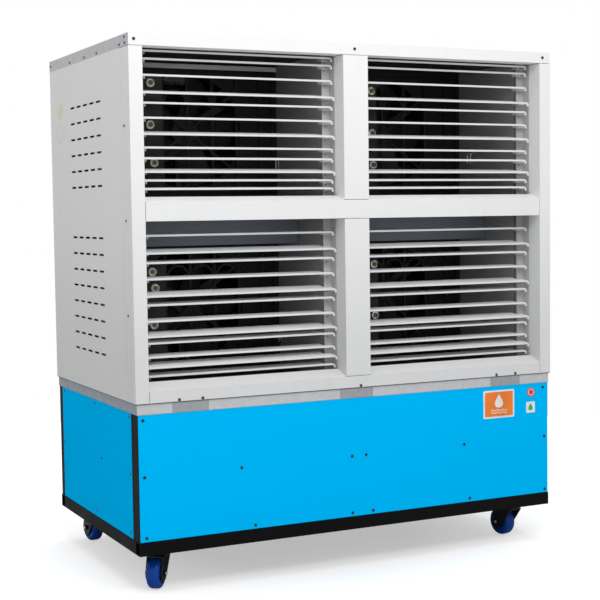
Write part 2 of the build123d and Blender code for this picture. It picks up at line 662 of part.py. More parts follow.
# Assembly -----------------------------------------------------------------------------------
def nodes():
    parts = {
        "front_frame": front_frame(),
        "louvre_channels": louvre_channels(),
        "side_panel_left": [side_panel_left()],
        "side_panel_right": [mirror(side_panel_left(), about=Plane.YZ)],
        "roof_pan": [roof_pan()],
        "seam_band": seam_band(),
        "bay_liner": bay_liner(),
        "fan_deck": fan_deck(),
        "fan_guards": fan_guards(),
        "fan_motors": [fan_motor(x, z) for _, x, z in fan_places()],
        "cooling_pads": cooling_pads(),
        "rear_pad_frames": both_sides(rear_pad_frame()) + both_sides(pad_tray()),
        "water_header": [water_header()],
        "water_pump": [water_pump()],
        "water_tank": [water_tank()],
        "water_fittings": water_fittings(),
        "float_arm": [float_arm()],
        "control_box": [control_box()],
        "base_frame": base_frame(),
        "base_panels": base_panels(),
        "caster_plates": [caster_place(name) * caster_plate() for name in CASTER_SIDE],
        "fasteners": fasteners(),
    }
    for level in ("upper", "lower"):
        parts[f"link_bar_{level}"] = [link_bar(level)]
        for number, z, deep in rows(level):
            parts[f"louvre_{level}_{number:02d}"] = [louvre_row(z, deep)]
    for name, x, z in fan_places():
        parts[f"fan_{name}"] = [impeller(x, z)]
    for name, yaw in CASTER_YAW.items():
        turned = caster_place(name) * Rot(0, 0, -yaw)
        parts[f"caster_fork_{name}"] = [turned * caster_fork()]
        parts[f"caster_wheel_{name}"] = [turned * caster_wheel()]
    return parts


os.makedirs("parts", exist_ok=True)
for node, shapes in nodes().items():
    solids = [solid for shape in shapes for solid in shape.solids()]
    export_step(Compound(children=solids), f"parts/{node}.step")
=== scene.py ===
import json
import math

import bmesh
import bpy
from mathutils import Matrix, Vector


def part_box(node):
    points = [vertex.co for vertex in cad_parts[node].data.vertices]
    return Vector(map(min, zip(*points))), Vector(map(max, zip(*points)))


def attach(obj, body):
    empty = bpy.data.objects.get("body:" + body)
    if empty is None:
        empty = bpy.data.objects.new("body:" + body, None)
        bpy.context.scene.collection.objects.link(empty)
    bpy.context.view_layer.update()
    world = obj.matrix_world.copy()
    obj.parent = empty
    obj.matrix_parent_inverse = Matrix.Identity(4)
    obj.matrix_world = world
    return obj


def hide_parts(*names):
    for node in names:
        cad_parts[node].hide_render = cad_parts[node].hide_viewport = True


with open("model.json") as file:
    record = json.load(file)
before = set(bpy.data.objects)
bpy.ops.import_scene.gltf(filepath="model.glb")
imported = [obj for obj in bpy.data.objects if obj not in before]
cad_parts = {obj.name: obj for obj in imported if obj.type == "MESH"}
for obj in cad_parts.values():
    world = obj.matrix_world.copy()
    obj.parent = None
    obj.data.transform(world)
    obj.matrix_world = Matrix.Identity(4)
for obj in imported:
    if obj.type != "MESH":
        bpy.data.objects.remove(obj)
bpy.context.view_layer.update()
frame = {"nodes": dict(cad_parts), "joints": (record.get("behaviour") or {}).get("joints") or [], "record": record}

NODES = frame["nodes"]
CABINET = "cabinet"
# The uprights' black is painted shade, standing in for a dark gap behind the bolts
UPRIGHT_Y = -0.286  # face of the black uprights that carry the flange bolts
LINER_FRONT_Y = -0.32
DECK_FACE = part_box("fan_deck")[0].y
# Height where the painted shade towards the foot of the cabinet fades out
SHADE_TOP = 1.8
SPANGLE_SCALE = 70.0


# Materials ----------------------------------------------------------------------------------
def new_material(name, rough=0.5, metal=0.0, coat=0.0, spec=0.5):
    """Principled material whose uniform values sit on the shader's own sockets."""
    mat = bpy.data.materials.new(name)
    mat.use_nodes = True
    shader = mat.node_tree.nodes["Principled BSDF"]
    shader.inputs["Roughness"].default_value = rough
    shader.inputs["Metallic"].default_value = metal
    shader.inputs["Coat Weight"].default_value = coat
    shader.inputs["Specular IOR Level"].default_value = spec
    return mat, mat.node_tree, shader


def coordinates(tree, stretch=(1, 1, 1)):
    """Object coordinates in metres, stretched along an axis."""
    texture = tree.nodes.new("ShaderNodeTexCoord")
    mapping = tree.nodes.new("ShaderNodeMapping")
    mapping.inputs["Scale"].default_value = stretch
    tree.links.new(texture.outputs["Object"], mapping.inputs["Vector"])
    return mapping.outputs["Vector"]


def noise(tree, vector, scale, detail=3.0):
    """Noise value, mostly between 0.3 and 0.7."""
    node = tree.nodes.new("ShaderNodeTexNoise")
    node.inputs["Scale"].default_value = scale
    node.inputs["Detail"].default_value = detail
    tree.links.new(vector, node.inputs["Vector"])
    return node.outputs["Fac"]


def ramp(tree, value, stops):
    """Colour ramp through (position, colour) stops."""
    node = tree.nodes.new("ShaderNodeValToRGB")
    elements = node.color_ramp.elements
    while len(elements) < len(stops):
        elements.new(0.5)
    for element, (place, color) in zip(elements, stops):
        element.position = place
        element.color = (*color, 1.0)
    tree.links.new(value, node.inputs["Fac"])
    return node.outputs["Color"]


def spread(tree, value, low, high):
    """Map the usual range of a noise value onto two limits."""
    node = tree.nodes.new("ShaderNodeMapRange")
    node.inputs["From Min"].default_value = 0.3
    node.inputs["From Max"].default_value = 0.7
    node.inputs["To Min"].default_value = low
    node.inputs["To Max"].default_value = high
    tree.links.new(value, node.inputs["Value"])
    return node.outputs["Result"]


def relief(tree, shader, value, depth, edge=0.0):
    """Bump in metres, over edges softened by a radius in metres."""
    bump = tree.nodes.new("ShaderNodeBump")
    bump.inputs["Strength"].default_value = 1.0
    bump.inputs["Distance"].default_value = depth
    tree.links.new(value, bump.inputs["Height"])
    if edge:
        bevel = tree.nodes.new("ShaderNodeBevel")
        bevel.samples = 4
        bevel.inputs["Radius"].default_value = edge
        tree.links.new(bevel.outputs["Normal"], bump.inputs["Normal"])
    tree.links.new(bump.outputs["Normal"], shader.inputs["Normal"])


def uneven_gloss(tree, shader, value, low, high):
    """Roughness that drifts between two limits."""
    tree.links.new(spread(tree, value, low, high), shader.inputs["Roughness"])


def shade(color, factor):
    """Colour made darker or lighter, clipped at white."""
    return tuple(min(1.0, c * factor) for c in color)


def component(tree, vector, axis):
    """One axis of a vector."""
    parts = tree.nodes.new("ShaderNodeSeparateXYZ")
    tree.links.new(vector, parts.inputs["Vector"])
    return parts.outputs[axis]


def facing(tree, axis):
    """How squarely a face looks along an axis, either way: 0 to 1."""
    texture = tree.nodes.new("ShaderNodeTexCoord")
    node = tree.nodes.new("ShaderNodeMath")
    node.operation = "ABSOLUTE"
    tree.links.new(component(tree, texture.outputs["Normal"], axis), node.inputs[0])
    return node.outputs["Value"]


def near(tree, value, target, reach):
    """1 where a value is within reach of the target, 0 elsewhere."""
    node = tree.nodes.new("ShaderNodeMath")
    node.operation = "COMPARE"
    node.inputs[1].default_value = target
    node.inputs[2].default_value = reach
    tree.links.new(value, node.inputs[0])
    return node.outputs["Value"]


def between(tree, value, low, high):
    """Where a value lies between two limits: 0 to 1."""
    node = tree.nodes.new("ShaderNodeMapRange")
    node.inputs["From Min"].default_value = low
    node.inputs["From Max"].default_value = high
    tree.links.new(value, node.inputs["Value"])
    return node.outputs["Result"]


def overlaid(tree, color, flat, mask):
    """Lay a flat colour over another where the mask is bright."""
    mix = tree.nodes.new("ShaderNodeMix")
    mix.data_type = "RGBA"
    mix.inputs["B"].default_value = (*flat, 1.0)
    tree.links.new(mask, mix.inputs["Factor"])
    tree.links.new(color, mix.inputs["A"])
    return mix.outputs["Result"]


def multiplied(tree, color, factor):
    """Multiply one colour by another."""
    mix = tree.nodes.new("ShaderNodeMix")
    mix.data_type = "RGBA"
    mix.blend_type = "MULTIPLY"
    mix.inputs["Factor"].default_value = 1.0
    tree.links.new(color, mix.inputs["A"])
    tree.links.new(factor, mix.inputs["B"])
    return mix.outputs["Result"]


def shade_by_height(tree, color, foot):
    """Darken towards the foot of the cabinet: painted shade for the weaker light low down."""
    height = between(tree, component(tree, coordinates(tree), "Z"), 0.0, SHADE_TOP)
    stops = [(0.0, foot), (0.42, foot + 0.04), (0.67, 0.95), (1.0, 1.0)]
    return multiplied(tree, color, ramp(tree, height, [(at, (v, v, v)) for at, v in stops]))


def painted(name, color, rough=0.4, vary=0.05, peel=0.00004, edge=0.0009, dirt=0.0, spec=0.4, foot=1.0):
    """Powder-coated sheet: slow colour drift, orange peel, soft folded edges, streaks, painted shade low down."""
    mat, tree, shader = new_material(name, rough, spec=spec)
    vector = coordinates(tree)
    tone = noise(tree, vector, 2.3, 4.0)
    base = ramp(tree, tone, [(0.3, shade(color, 1 - vary)), (0.7, shade(color, 1 + vary))])
    if dirt:
        streaks = noise(tree, coordinates(tree, (14, 14, 1.1)), 1.7, 5.0)
        mask = ramp(tree, streaks, [(0.5, (0, 0, 0)), (0.85, (dirt, dirt, dirt))])
        base = overlaid(tree, base, shade(color, 0.72), mask)
    # Painted shade: darker towards the foot of the cabinet
    if foot < 1:
        base = shade_by_height(tree, base, foot)
    tree.links.new(base, shader.inputs["Base Color"])
    uneven_gloss(tree, shader, noise(tree, vector, 9.0), rough - 0.04, rough + 0.06)
    relief(tree, shader, noise(tree, vector, 420.0, 2.0), peel, edge)
    return mat


def galvanised(name, color, contrast=0.045, metallic=0.85):
    """Zinc-coated sheet with crystal spangle and faint rolling streaks."""
    mat, tree, shader = new_material(name, 0.50, metallic)
    vector = coordinates(tree)
    cells = tree.nodes.new("ShaderNodeTexVoronoi")
    cells.inputs["Scale"].default_value = SPANGLE_SCALE
    tree.links.new(vector, cells.inputs["Vector"])
    grey = tree.nodes.new("ShaderNodeSeparateColor")
    tree.links.new(cells.outputs["Color"], grey.inputs["Color"])
    dull, bright = shade(color, 1 - contrast), shade(color, 1 + contrast)
    base = ramp(tree, grey.outputs["Red"], [(0.0, dull), (1.0, bright)])
    tree.links.new(base, shader.inputs["Base Color"])
    uneven_gloss(tree, shader, grey.outputs["Green"], 0.44, 0.60)
    relief(tree, shader, noise(tree, coordinates(tree, (1, 40, 40)), 30.0), 0.00004, 0.0007)
    return mat


def moulded(name, color, rough=0.5, coat=0.0, grain=900.0, depth=0.00003, edge=0.0008, spec=0.5):
    """Moulded plastic with a fine grain and uneven gloss."""
    mat, tree, shader = new_material(name, rough, 0.0, coat, spec)
    vector = coordinates(tree)
    base = ramp(tree, noise(tree, vector, 14.0), [(0.3, shade(color, 0.88)), (0.7, shade(color, 1.12))])
    tree.links.new(base, shader.inputs["Base Color"])
    uneven_gloss(tree, shader, noise(tree, vector, 38.0), rough - 0.07, rough + 0.08)
    relief(tree, shader, noise(tree, vector, grain, 2.0), depth, edge)
    return mat


def metal(name, color, rough):
    """Plated or machined metal with fine marks."""
    mat, tree, shader = new_material(name, rough, 1.0)
    vector = coordinates(tree)
    base = ramp(tree, noise(tree, vector, 30.0), [(0.3, shade(color, 0.86)), (0.7, shade(color, 1.1))])
    tree.links.new(base, shader.inputs["Base Color"])
    uneven_gloss(tree, shader, noise(tree, vector, 70.0), rough - 0.08, rough + 0.12)
    relief(tree, shader, noise(tree, vector, 260.0), 0.00002, 0.0006)
    return mat


def flat_ink(name, color, rough=0.45):
    """Printed label surface: slightly mottled ink under a thin film."""
    return moulded(name, color, rough, 0.15, 500.0, 0.00001, 0.0003)


def fluted_card(name, color):
    """Wetted cellulose: fibre mottling, mineral bloom and a rough face."""
    mat, tree, shader = new_material(name, 0.9, 0.0, 0.0, 0.2)
    vector = coordinates(tree)
    tone = noise(tree, vector, 60.0, 6.0)
    base = ramp(tree, tone, [(0.25, shade(color, 0.6)), (0.55, color), (0.8, (0.16, 0.14, 0.11))])
    tree.links.new(base, shader.inputs["Base Color"])
    relief(tree, shader, noise(tree, vector, 700.0, 4.0), 0.0003)
    return mat


def liner_paint(name):
    """Grey inner sheet with painted shade: darker the deeper it sits towards the fans and near black on the fan
    deck, black in a thin band where the bolts sit, and darker on faces that point up or down.
    """
    mat, tree, shader = new_material(name, 0.5, 0.0, 0.0, 0.3)
    vector = coordinates(tree)
    depth_y = component(tree, vector, "Y")
    depth = between(tree, depth_y, LINER_FRONT_Y, DECK_FACE)
    # Painted shade of the recess: lighter near the windows, darker deeper in, near black on the fan deck
    grey = ramp(tree, depth, [(0.0, (0.62, 0.625, 0.63)), (0.4, (0.42, 0.425, 0.43)),
                              (0.985, (0.30, 0.305, 0.31)), (1.0, (0.014, 0.015, 0.016))])
    # Painted shade: a thin black band on the uprights behind the bolts, and on any liner face at that depth
    grey = overlaid(tree, grey, (0.015, 0.015, 0.016), near(tree, depth_y, UPRIGHT_Y, 0.0016))
    # Darker on faces that point up or down
    up_down_darkening = ramp(tree, facing(tree, "Z"), [(0.3, (1.0, 1.0, 1.0)), (0.8, (0.12, 0.12, 0.12))])
    tree.links.new(multiplied(tree, grey, up_down_darkening), shader.inputs["Base Color"])
    relief(tree, shader, noise(tree, vector, 300.0, 2.0), 0.00005)
    return mat


MATERIALS = {
    # The white sheet gets painted shade towards the foot of the cabinet
    "white_paint": painted("white_paint", (0.86, 0.862, 0.865), 0.42, vary=0.01, dirt=0.12, spec=0.35,
                           foot=0.78),
    "louvre_paint": painted("louvre_paint", (0.80, 0.803, 0.81), 0.36, vary=0.02),
    # Louvre channels in grey: a darker copy of the louvre white, painted shade inside the window jambs
    "channel_paint": painted("channel_paint", (0.52, 0.522, 0.525), 0.42, vary=0.03),
    "galvanised_steel": galvanised("galvanised_steel", (0.68, 0.69, 0.71)),
    "inner_steel": liner_paint("inner_steel"),
    "guard_plastic": moulded("guard_plastic", (0.010, 0.010, 0.011), 0.6),
    "fan_plastic": moulded("fan_plastic", (0.035, 0.036, 0.04), 0.45, spec=0.3),
    "motor_paint": painted("motor_paint", (0.04, 0.042, 0.045), 0.45, vary=0.1),
    "pad_media": fluted_card("pad_media", (0.07, 0.052, 0.035)),
    "pad_frame_paint": painted("pad_frame_paint", (0.72, 0.725, 0.73), 0.42, vary=0.02, dirt=0.25),
    "pipe_plastic": moulded("pipe_plastic", (0.78, 0.78, 0.76), 0.35),
    "tank_plastic": moulded("tank_plastic", (0.12, 0.14, 0.17), 0.5),
    "float_plastic": moulded("float_plastic", (0.80, 0.30, 0.04), 0.35),
    "black_paint": painted("black_paint", (0.005, 0.005, 0.0055), 0.48, vary=0.15, peel=0.00008, spec=0.06),
    "blue_paint": painted("blue_paint", (0.0, 0.50, 1.0), 0.50, vary=0.012, spec=0.0),
    "black_zinc": metal("black_zinc", (0.06, 0.06, 0.065), 0.36),
    "fork_steel": painted("fork_steel", (0.006, 0.006, 0.007), 0.34, vary=0.2, spec=0.3),
    "wheel_plastic": moulded("wheel_plastic", (0.0, 0.050, 0.30), 0.30, 0.0, 300.0, 0.00002, spec=0.2),
}
for part in frame["record"]["subparts"]:
    mesh = NODES[part["node"]].data
    mesh.materials.clear()
    mesh.materials.append(MATERIALS[part["material_slot"]])


def band_steel():
    """Zinc sheet, duller on the tie plates at the front; darker and bluer on the two end faces, a painted shade of
    the sides.
    """
    mat = galvanised("band_steel", (0.60, 0.61, 0.63), contrast=0.04, metallic=0.3)
    tree = mat.node_tree
    shader = tree.nodes["Principled BSDF"]
    clean = shader.inputs["Base Color"].links[0].from_socket
    on_plate = near(tree, component(tree, coordinates(tree), "Y"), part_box("seam_band")[0].y, 0.0004)
    plates = ramp(tree, on_plate, [(0.3, (1.0, 1.0, 1.0)), (0.7, (0.62, 0.63, 0.65))])
    # Painted shade: faces that point left or right are darker and bluer
    ends = ramp(tree, facing(tree, "X"), [(0.6, (1.0, 1.0, 1.0)), (0.9, (0.56, 0.62, 0.70))])
    tree.links.new(multiplied(tree, multiplied(tree, clean, plates), ends), shader.inputs["Base Color"])
    return mat


NODES["seam_band"].data.materials[0] = band_steel()


# Mesh pieces --------------------------------------------------------------------------------
def piece(name, mesh_maker, material, body=CABINET, smooth_angle=30.0):
    """New object from a bmesh-building function, riding on a body."""
    bm = bmesh.new()
    mesh_maker(bm)
    bmesh.ops.remove_doubles(bm, verts=bm.verts, dist=1e-6)
    bmesh.ops.recalc_face_normals(bm, faces=bm.faces)
    mesh = bpy.data.meshes.new(name)
    bm.to_mesh(mesh)
    bm.free()
    for polygon in mesh.polygons:
        polygon.use_smooth = True
    mesh.set_sharp_from_angle(angle=math.radians(smooth_angle))
    mesh.materials.append(material)
    obj = bpy.data.objects.new(name, mesh)
    bpy.context.scene.collection.objects.link(obj)
    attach(obj, body)
    return obj


def prism(bm, outline, place, thickness, direction=(0, -1, 0)):
    """Plate on an upright wall, with its outline as (right, up) pairs about a point."""
    normal = Vector(direction)
    up = Vector((0, 0, 1))
    right = up.cross(normal)
    origin = Vector(place)
    low = [bm.verts.new(origin + right * u + up * v) for u, v in outline]
    high = [bm.verts.new(v.co + normal * thickness) for v in low]
    bm.faces.new(low)
    bm.faces.new(high)
    count = len(outline)
    for i in range(count):
        j = (i + 1) % count
        bm.faces.new((low[i], low[j], high[j], high[i]))


def rounded(width, height, radius, steps=6):
    """Outline of a rectangle with rounded corners."""
    points = []
    for corner, (sx, sy) in enumerate(((1, 1), (-1, 1), (-1, -1), (1, -1))):
        for step in range(steps + 1):
            angle = math.radians(90 * corner + 90 * step / steps)
            points.append((sx * (width / 2 - radius) + radius * math.cos(angle),
                           sy * (height / 2 - radius) + radius * math.sin(angle)))
    return points


def circle(radius, steps=40):
    """Outline of a circle."""
    return [(radius * math.cos(2 * math.pi * i / steps), radius * math.sin(2 * math.pi * i / steps))
            for i in range(steps)]


def lathe(bm, profile, place, axis, steps=32):
    """Turned shape from (radius, distance along axis) pairs."""
    axis = Vector(axis).normalized()
    side = axis.orthogonal().normalized()
    other = axis.cross(side)
    rings = []
    for radius, along in profile:
        centre = Vector(place) + axis * along
        if radius < 1e-6:
            rings.append([bm.verts.new(centre)])
            continue
        ring = []
        for i in range(steps):
            angle = 2 * math.pi * i / steps
            ring.append(bm.verts.new(centre + (side * math.cos(angle) + other * math.sin(angle)) * radius))
        rings.append(ring)
    for a, b in zip(rings, rings[1:]):
        for i in range(steps):
            j = (i + 1) % steps
            corners = [a[i % len(a)], a[j % len(a)], b[j % len(b)], b[i % len(b)]]
            unique = list(dict.fromkeys(corners))
            if len(unique) > 2:
                bm.faces.new(unique)


FRONT_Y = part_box("front_frame")[0].y
BASE_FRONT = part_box("base_panels")[0].y
SIDE_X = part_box("side_panel_left")[0].x

# Labels: plain shapes of our own, no lettering
orange = flat_ink("placard_orange", (0.86, 0.20, 0.015))
white_ink = flat_ink("label_white", (0.82, 0.82, 0.80))
red_ink = flat_ink("label_red", (0.66, 0.02, 0.03))
green_ink = flat_ink("label_green", (0.05, 0.42, 0.08))
faded_ink = flat_ink("label_faded", (0.80, 0.745, 0.60), 0.6)
worn_ink = flat_ink("label_worn", (0.70, 0.70, 0.69), 0.6)


def drop_outline(size):
    """Water drop, point up."""
    points = []
    for i in range(36):
        t = 2 * math.pi * i / 36
        points.append((size * 0.5 * math.sin(t) * math.sin(t / 2) ** 1.5 * 1.25, size * 0.62 * math.cos(t)))
    return points


def ring_band(bm, outer, inner, place, thickness, direction=(0, -1, 0), steps=40):
    """Flat ring standing proud of a wall."""
    profile = [(inner, 0), (outer, 0), (outer, thickness), (inner, thickness), (inner, 0)]
    lathe(bm, profile, place, direction, steps)


PLACARD_X, PLACARD_Z = 0.573, 0.513
BORDER_PROUD = 0.0008
INK = 0.0002  # thickness of one printed layer
STICKER = 0.0004
ROUND_LABEL = (0.713, 0.546)
SQUARE_LABEL = (0.711, 0.491)


def placard_border(bm):
    prism(bm, rounded(0.132, 0.100, 0.004), (PLACARD_X, BASE_FRONT, PLACARD_Z), BORDER_PROUD)


def placard_field(bm):
    prism(bm, rounded(0.120, 0.088, 0.003), (PLACARD_X, BASE_FRONT - BORDER_PROUD, PLACARD_Z), INK)


def placard_mark(bm):
    """Water drop over two waves."""
    face = BASE_FRONT - BORDER_PROUD - INK
    half_width, swell, half_line = 0.034, 0.0022, 0.0014
    prism(bm, drop_outline(0.040), (PLACARD_X, face, PLACARD_Z + 0.012), INK)
    for row in range(2):
        below = []
        above = []
        for i in range(25):
            u = -half_width + 2 * half_width * i / 24
            v = swell * math.sin(i * math.pi / 4)
            above.append((u, v + half_line))
            below.append((u, v - half_line))
        prism(bm, below + above[::-1], (PLACARD_X, face, PLACARD_Z - 0.022 - 0.009 * row), INK)


def round_label(bm):
    x, z = ROUND_LABEL
    prism(bm, circle(0.0175), (x, BASE_FRONT, z), STICKER)


def round_label_ring(bm):
    x, z = ROUND_LABEL
    ring_band(bm, 0.0125, 0.0095, (x, BASE_FRONT - STICKER, z), INK)


def square_label(bm):
    x, z = SQUARE_LABEL
    prism(bm, rounded(0.038, 0.040, 0.002), (x, BASE_FRONT, z), STICKER)


def square_label_leaf(bm):
    x, z = SQUARE_LABEL
    prism(bm, drop_outline(0.022), (x, BASE_FRONT - STICKER, z + 0.002), INK)


piece("placard_border", placard_border, white_ink)
piece("placard_field", placard_field, orange)
piece("placard_mark", placard_mark, white_ink)
piece("round_label", round_label, red_ink)
piece("round_label_ring", round_label_ring, white_ink)
piece("square_label", square_label, white_ink)
piece("square_label_leaf", square_label_leaf, green_ink)


# Hardware -----------------------------------------------------------------------------------
def hexagon(radius, turn):
    """Outline of a hexagon, turned by an angle in radians."""
    angles = [math.radians(60 * i) + turn for i in range(6)]
    return [(radius * math.cos(angle), radius * math.sin(angle)) for angle in angles]


brass = metal("bolt_brass", (0.22, 0.18, 0.11), 0.34)
dark_screw = metal("dark_screw", (0.10, 0.10, 0.11), 0.42)
bright_zinc = metal("bright_zinc", (0.74, 0.72, 0.66), 0.28)
# Near-white paint for the header flange: partly a painted highlight
flange_highlight_paint = painted("flange_highlight_white", (0.92, 0.92, 0.92), 0.35, vary=0.01)

# Centres of the flange bolts on the uprights, by bay
BAY_BOLTS = [(-0.670, 1.631), (-0.673, 1.497), (-0.662, 1.374),  # upper left
             (0.145, 1.627), (0.147, 1.481), (0.150, 1.370),  # upper right
             (-0.676, 1.021), (-0.667, 0.968), (-0.673, 0.848),  # lower left
             (0.150, 1.023), (0.153, 0.842)]  # lower right
STRIP_FACE = UPRIGHT_Y - 0.001
WASHER = 0.0030


def bay_washers(bm):
    """Dished washer under each flange bolt."""
    for x, z in BAY_BOLTS:
        lathe(bm, [(0.0, 0.0), (0.0145, 0.0), (0.0145, 0.0012), (0.0115, WASHER), (0.0, WASHER)],
              (x, STRIP_FACE, z), (0, -1, 0))


def bay_bolts(bm):
    """Hexagon head and stub of thread of each flange bolt."""
    for index, (x, z) in enumerate(BAY_BOLTS):
        prism(bm, hexagon(0.0090, 0.4 * index), (x, STRIP_FACE - WASHER, z), 0.0060)
        lathe(bm, [(0.0, 0.0090), (0.0045, 0.0090), (0.0045, 0.0140), (0.0036, 0.0150), (0.0, 0.0150)],
              (x, STRIP_FACE, z), (0, -1, 0), 20)


piece("bay_washers", bay_washers, bright_zinc)
piece("bay_bolts", bay_bolts, brass)


def band_screws(bm):
    """Pan heads along the foot of the cabinet, above the tie plates."""
    row_z = 0.6195
    for x in (-0.649, -0.569, 0.008, 0.560, 0.641):
        lathe(bm, [(0.0, 0.0), (0.0052, 0.0), (0.0048, 0.0016), (0.0030, 0.0026), (0.0, 0.0028)],
              (x, FRONT_Y, row_z), (0, -1, 0), 24)


piece("band_screws", band_screws, dark_screw)


def overhang_shadow_strip(bm):
    """Dark strip where the upper cabinet sits on the metal band: painted shadow of the cabinet's overhang."""
    x, y, low, high = -SIDE_X - 0.001, -FRONT_Y - 0.001, 0.6118, 0.6140
    rings = []
    for inset in (0.0, 0.007):
        wide, long = x - inset, y - inset
        for z in (low, high):
            corners = [(-wide, -long), (wide, -long), (wide, long), (-wide, long)]
            rings.append([bm.verts.new((*corner, z)) for corner in corners])
    outer_low, outer_high, inner_low, inner_high = rings
    for a, b in ((outer_low, outer_high), (inner_low, inner_high), (outer_low, inner_low),
                 (outer_high, inner_high)):
        for i in range(4):
            j = (i + 1) % 4
            bm.faces.new((a[i], a[j], b[j], b[i]))


# Black strip as painted shadow under the cabinet's overhang
piece("overhang_shadow_strip", overhang_shadow_strip, moulded("overhang_shadow_black", (0.02, 0.02, 0.022), 0.6))


def header_flange(bm):
    """Folded flange across the top of the upper left fan opening, in near-white paint that is partly a painted
    highlight.
    """
    x0, x1, y0, z0, z1 = -0.746, -0.049, DECK_FACE - 0.0095, 1.7215, 1.7375
    sheet, lip = 0.0015, 0.008
    profile = [(y0, z0), (y0 - sheet, z0), (y0 - sheet, z1), (y0 + lip, z1 + 0.003), (y0 + lip, z1 + sheet),
               (y0, z1 - 0.001)]
    ends = [[bm.verts.new((x, y, z)) for y, z in profile] for x in (x0, x1)]
    bm.faces.new(ends[0])
    bm.faces.new(ends[1][::-1])
    for i in range(len(profile)):
        j = (i + 1) % len(profile)
        bm.faces.new((ends[0][i], ends[1][i], ends[1][j], ends[0][j]))


# The flange's near-white paint is partly a painted highlight
piece("header_flange", header_flange, flange_highlight_paint)


def partition_hooks(bm):
    """Pairs of small wire hooks on the right wall of each upper bay and the lower left bay."""
    hooks = ((-0.0465, DECK_FACE - 0.025, 1.405), (0.7465, 0.0, 1.425), (-0.0465, 0.06, 0.775))
    for wall_x, y, top_z in hooks:
        for shift in (-0.011, 0.011):
            place = (wall_x - 0.0005, y + shift, top_z)
            lathe(bm, [(0.0, 0.0), (0.006, 0.0), (0.006, 0.002), (0.0, 0.002)], place, (-1, 0, 0), 16)
            lathe(bm, [(0.0, 0.0), (0.002, 0.0), (0.002, 0.010), (0.0, 0.010)], place, (-1, 0, 0), 12)
            lathe(bm, [(0.0, 0.0), (0.002, 0.0), (0.002, 0.040), (0.0, 0.040)],
                  (wall_x - 0.0095, y + shift, top_z + 0.002), (0, 0, -1), 12)
            lathe(bm, [(0.0, 0.0), (0.0036, 0.0015), (0.005, 0.005), (0.0036, 0.0085), (0.0, 0.010)],
                  (wall_x - 0.0095, y + shift, top_z - 0.036), (0, 0, -1), 16)


piece("partition_hooks", partition_hooks, bright_zinc)

# Blue-grey baffles under the ceiling of the lower bays
baffle_paint = painted("baffle_paint", (0.24, 0.265, 0.31), 0.45, vary=0.06)
BAFFLE_Y, BAFFLE_Z = -0.09, 1.1425
for side_name, side_x in (("left", -0.3975), ("right", 0.3975)):
    piece(f"baffle_{side_name}", lambda bm: prism(
        bm, rounded(0.694, 0.088, 0.003), (side_x, BAFFLE_Y, BAFFLE_Z), 0.0015), baffle_paint)


# Casters: moulded hub and rim rings and ribs on the wheels, bright axle nuts on the forks
JOINTS = {joint["name"]: joint for joint in frame["joints"]}
HUB_RING = [(0.0145, 0.0162), (0.0185, 0.0162), (0.0185, 0.0178), (0.0174, 0.0188), (0.0145, 0.0188),
            (0.0145, 0.0162)]
RIM_RING = [(0.0285, 0.0162), (0.0330, 0.0162), (0.0330, 0.0170), (0.0322, 0.0176), (0.0293, 0.0176),
            (0.0285, 0.0170), (0.0285, 0.0162)]
AXLE_NUT = [(0.0, 0.0340), (0.0060, 0.0340), (0.0058, 0.0358), (0.0045, 0.0372), (0.0, 0.0376)]
RIBS = 8


def wheel_trim(name):
    """Trim of one caster: two rings and ribs on each wheel face, a nut at each end of the axle."""
    joint = JOINTS[f"caster_wheel_{name}_roll"]
    centre, axis = Vector(joint["pos_m"]), Vector(joint["axis"])

    def rings(bm):
        for sign in (-1, 1):
            lathe(bm, HUB_RING, centre, axis * sign, 48)
            lathe(bm, RIM_RING, centre, axis * sign, 64)

    def ribs(bm):
        side = axis.cross(Vector((0, 0, 1))).normalized()
        for sign in (-1, 1):
            for n in range(RIBS):
                angle = math.radians(360 / RIBS * n)
                along = side * math.cos(angle) + Vector((0, 0, 1)) * math.sin(angle)
                across = axis.cross(along).normalized() * 0.0016
                inner, outer = centre + along * 0.0180, centre + along * 0.0290
                outline = [inner + across, outer + across, outer - across, inner - across]
                low, high = axis * sign * 0.0161, axis * sign * 0.0176
                corners = [[bm.verts.new(point + height) for point in outline] for height in (low, high)]
                bm.faces.new(corners[0])
                bm.faces.new(corners[1])
                for i in range(4):
                    j = (i + 1) % 4
                    bm.faces.new((corners[0][i], corners[0][j], corners[1][j], corners[1][i]))

    def nuts(bm):
        for sign in (-1, 1):
            lathe(bm, AXLE_NUT, centre, axis * sign, 24)

    piece(f"wheel_rings_{name}", rings, MATERIALS["wheel_plastic"], f"caster_wheel_{name}")
    piece(f"wheel_ribs_{name}", ribs, MATERIALS["wheel_plastic"], f"caster_wheel_{name}")
    piece(f"axle_ends_{name}", nuts, bright_zinc, f"caster_fork_{name}")


for corner in ("front_left", "front_right", "rear_left", "rear_right"):
    wheel_trim(corner)


# Cooling pads: crossed corrugated sheets in place of the CAD blocks
def fluted_pad(bm, x0, x1, y0, y1, z0, z1):
    """Corrugated sheets side by side, whose flutes slope opposite ways in turn."""
    pitch, swing, wave = 0.020, 0.0098, 0.032
    sheets = int((x1 - x0) / pitch)
    deep, tall = 5, int((z1 - z0) / (wave / 6))  # steps through the pad and up it
    for n in range(sheets):
        middle = x0 + pitch * (n + 0.5)
        lean = 1 if n % 2 else -1
        grid = []
        for i in range(deep + 1):
            y = y0 + (y1 - y0) * i / deep
            column = []
            for j in range(tall + 1):
                z = z0 + (z1 - z0) * j / tall
                x = middle + swing * math.sin(2 * math.pi * (z + lean * (y - y0)) / wave)
                column.append(bm.verts.new((x, y, z)))
            grid.append(column)
        for i in range(deep):
            for j in range(tall):
                bm.faces.new((grid[i][j], grid[i + 1][j], grid[i + 1][j + 1], grid[i][j + 1]))


